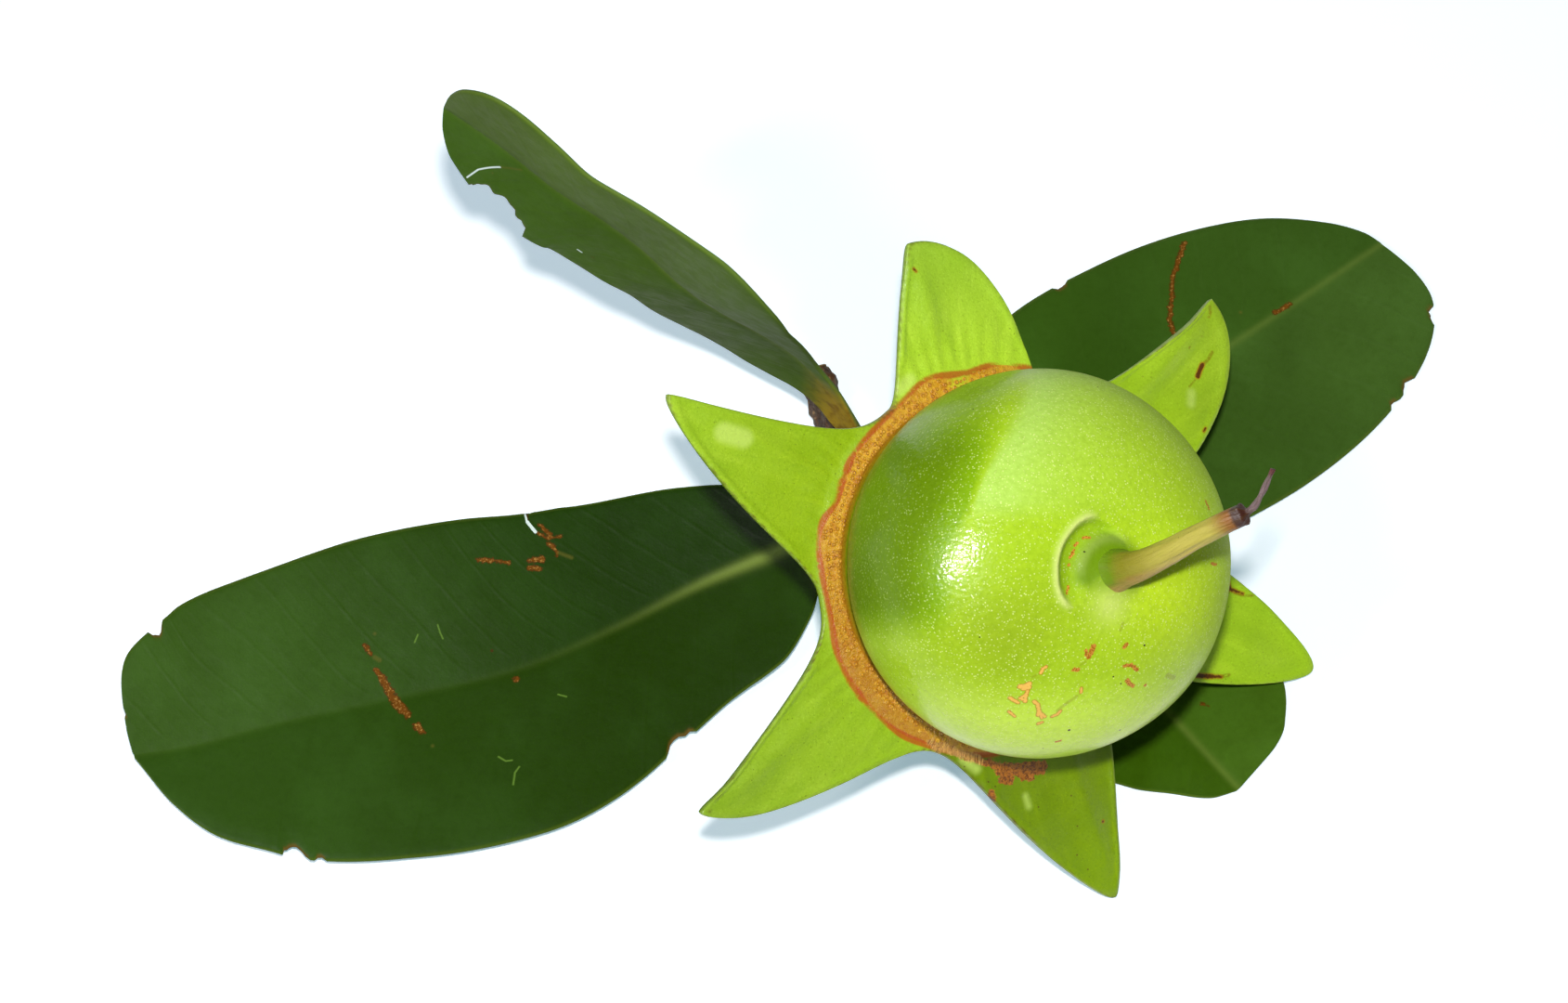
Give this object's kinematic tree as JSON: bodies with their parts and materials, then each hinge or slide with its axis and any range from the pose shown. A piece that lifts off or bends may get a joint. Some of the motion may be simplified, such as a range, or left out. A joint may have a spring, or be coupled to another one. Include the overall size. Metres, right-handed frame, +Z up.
{
  "type": "mangrove apple",
  "caption": "Green mangrove apple as picked: round berry on a pointed star calyx, bent dry style, short knobbly twig and leathery oval leaves.",
  "frame": {"origin": "under the middle of the bounding box, on the surface that the sprig lies on", "axes": "+Z is up; +X runs from the tip of the lower left leaf to the side of the upper right leaf, which is the longest way across; the fruit leans towards +X and -Y"},
  "size_m": [0.1708, 0.092, 0.073],
  "materials": {
    "berry_skin": "waxy yellow-green skin with fine pale dots and a few corky scars",
    "style_tissue": "drying olive to brown, satin",
    "calyx_skin": "satin yellow-green, orange scar ring round the berry",
    "green_stem": "smooth green stem",
    "twig_bark": "rough brown bark with knobs",
    "leaf_blade": "dark green leathery blade, satin, paler midrib"
  },
  "bodies": {
    "root": {"berry": "berry_skin", "style": "style_tissue", "calyx": "calyx_skin", "pedicel": "green_stem", "twig": "twig_bark", "leaf_lower_left": "leaf_blade", "leaf_upper_left": "leaf_blade", "leaf_upper_right": "leaf_blade", "leaf_lower_right": "leaf_blade"}
  },
  "joints": []
}
